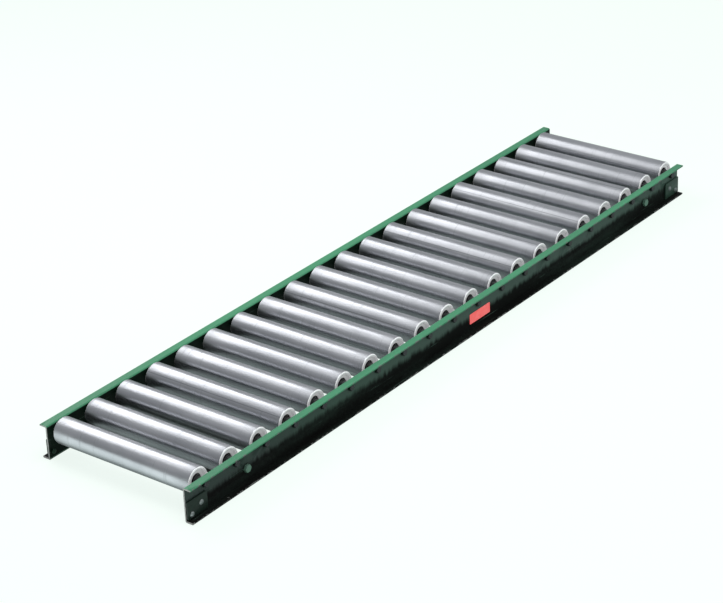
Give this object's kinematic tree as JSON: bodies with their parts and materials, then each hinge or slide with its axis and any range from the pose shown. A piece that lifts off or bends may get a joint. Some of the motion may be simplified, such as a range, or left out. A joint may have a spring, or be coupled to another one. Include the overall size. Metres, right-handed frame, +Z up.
{
  "type": "gravity roller conveyor",
  "caption": "Straight gravity roller conveyor section: free-turning steel rollers on hexagonal axles between two outward-flanged side channels.",
  "frame": {"origin": "middle of the section's length and width, on the plane under the bottom flanges", "axes": "+X along the direction of travel, +Y across to the back rail, +Z up"},
  "size_m": [1.5462, 0.354, 0.073],
  "materials": {
    "rail_paint": "satin green enamel",
    "roller_steel": "bright zinc-plated tube, faint lengthwise and turning marks",
    "axle_steel": "drawn bar, lightly oiled",
    "zinc_fasteners": "zinc plated",
    "label_red": "gloss red, blank"
  },
  "bodies": {
    "frame": {"side_rail_front": "rail_paint", "side_rail_back": "rail_paint", "axle_01": "axle_steel", "axle_02": "axle_steel", "axle_03": "axle_steel", "axle_04": "axle_steel", "axle_05": "axle_steel", "axle_06": "axle_steel", "axle_07": "axle_steel", "axle_08": "axle_steel", "axle_09": "axle_steel", "axle_10": "axle_steel", "axle_11": "axle_steel", "axle_12": "axle_steel", "axle_13": "axle_steel", "axle_14": "axle_steel", "axle_15": "axle_steel", "axle_16": "axle_steel", "axle_17": "axle_steel", "axle_18": "axle_steel", "axle_19": "axle_steel", "axle_20": "axle_steel", "cross_member_1": "rail_paint", "cross_member_2": "rail_paint", "cross_bolt_1_front": "zinc_fasteners", "cross_nut_1_front": "zinc_fasteners", "cross_bolt_1_back": "zinc_fasteners", "cross_nut_1_back": "zinc_fasteners", "cross_bolt_2_front": "zinc_fasteners", "cross_nut_2_front": "zinc_fasteners", "cross_bolt_2_back": "zinc_fasteners", "cross_nut_2_back": "zinc_fasteners", "web_plate_front_left": "rail_paint", "web_plate_front_right": "rail_paint", "web_plate_back_left": "rail_paint", "web_plate_back_right": "rail_paint", "label_plate": "label_red"},
    "roller_01_body": {"roller_01": "roller_steel"},
    "roller_02_body": {"roller_02": "roller_steel"},
    "roller_03_body": {"roller_03": "roller_steel"},
    "roller_04_body": {"roller_04": "roller_steel"},
    "roller_05_body": {"roller_05": "roller_steel"},
    "roller_06_body": {"roller_06": "roller_steel"},
    "roller_07_body": {"roller_07": "roller_steel"},
    "roller_08_body": {"roller_08": "roller_steel"},
    "roller_09_body": {"roller_09": "roller_steel"},
    "roller_10_body": {"roller_10": "roller_steel"},
    "roller_11_body": {"roller_11": "roller_steel"},
    "roller_12_body": {"roller_12": "roller_steel"},
    "roller_13_body": {"roller_13": "roller_steel"},
    "roller_14_body": {"roller_14": "roller_steel"},
    "roller_15_body": {"roller_15": "roller_steel"},
    "roller_16_body": {"roller_16": "roller_steel"},
    "roller_17_body": {"roller_17": "roller_steel"},
    "roller_18_body": {"roller_18": "roller_steel"},
    "roller_19_body": {"roller_19": "roller_steel"},
    "roller_20_body": {"roller_20": "roller_steel"}
  },
  "joints": [
    {"name": "roller_01_spin", "type": "hinge", "parent": "frame", "child": "roller_01_body", "pos_m": [-0.7239, 0, 0.0489], "axis": [0, 1, 0], "continuous": true},
    {"name": "roller_02_spin", "type": "hinge", "parent": "frame", "child": "roller_02_body", "pos_m": [-0.6477, 0, 0.0489], "axis": [0, 1, 0], "continuous": true},
    {"name": "roller_03_spin", "type": "hinge", "parent": "frame", "child": "roller_03_body", "pos_m": [-0.5715, 0, 0.0489], "axis": [0, 1, 0], "continuous": true},
    {"name": "roller_04_spin", "type": "hinge", "parent": "frame", "child": "roller_04_body", "pos_m": [-0.4953, 0, 0.0489], "axis": [0, 1, 0], "continuous": true},
    {"name": "roller_05_spin", "type": "hinge", "parent": "frame", "child": "roller_05_body", "pos_m": [-0.4191, 0, 0.0489], "axis": [0, 1, 0], "continuous": true},
    {"name": "roller_06_spin", "type": "hinge", "parent": "frame", "child": "roller_06_body", "pos_m": [-0.3429, 0, 0.0489], "axis": [0, 1, 0], "continuous": true},
    {"name": "roller_07_spin", "type": "hinge", "parent": "frame", "child": "roller_07_body", "pos_m": [-0.2667, 0, 0.0489], "axis": [0, 1, 0], "continuous": true},
    {"name": "roller_08_spin", "type": "hinge", "parent": "frame", "child": "roller_08_body", "pos_m": [-0.1905, 0, 0.0489], "axis": [0, 1, 0], "continuous": true},
    {"name": "roller_09_spin", "type": "hinge", "parent": "frame", "child": "roller_09_body", "pos_m": [-0.1143, 0, 0.0489], "axis": [0, 1, 0], "continuous": true},
    {"name": "roller_10_spin", "type": "hinge", "parent": "frame", "child": "roller_10_body", "pos_m": [-0.0381, 0, 0.0489], "axis": [0, 1, 0], "continuous": true},
    {"name": "roller_11_spin", "type": "hinge", "parent": "frame", "child": "roller_11_body", "pos_m": [0.0381, 0, 0.0489], "axis": [0, 1, 0], "continuous": true},
    {"name": "roller_12_spin", "type": "hinge", "parent": "frame", "child": "roller_12_body", "pos_m": [0.1143, 0, 0.0489], "axis": [0, 1, 0], "continuous": true},
    {"name": "roller_13_spin", "type": "hinge", "parent": "frame", "child": "roller_13_body", "pos_m": [0.1905, 0, 0.0489], "axis": [0, 1, 0], "continuous": true},
    {"name": "roller_14_spin", "type": "hinge", "parent": "frame", "child": "roller_14_body", "pos_m": [0.2667, 0, 0.0489], "axis": [0, 1, 0], "continuous": true},
    {"name": "roller_15_spin", "type": "hinge", "parent": "frame", "child": "roller_15_body", "pos_m": [0.3429, 0, 0.0489], "axis": [0, 1, 0], "continuous": true},
    {"name": "roller_16_spin", "type": "hinge", "parent": "frame", "child": "roller_16_body", "pos_m": [0.4191, 0, 0.0489], "axis": [0, 1, 0], "continuous": true},
    {"name": "roller_17_spin", "type": "hinge", "parent": "frame", "child": "roller_17_body", "pos_m": [0.4953, 0, 0.0489], "axis": [0, 1, 0], "continuous": true},
    {"name": "roller_18_spin", "type": "hinge", "parent": "frame", "child": "roller_18_body", "pos_m": [0.5715, 0, 0.0489], "axis": [0, 1, 0], "continuous": true},
    {"name": "roller_19_spin", "type": "hinge", "parent": "frame", "child": "roller_19_body", "pos_m": [0.6477, 0, 0.0489], "axis": [0, 1, 0], "continuous": true},
    {"name": "roller_20_spin", "type": "hinge", "parent": "frame", "child": "roller_20_body", "pos_m": [0.7239, 0, 0.0489], "axis": [0, 1, 0], "continuous": true}
  ]
}
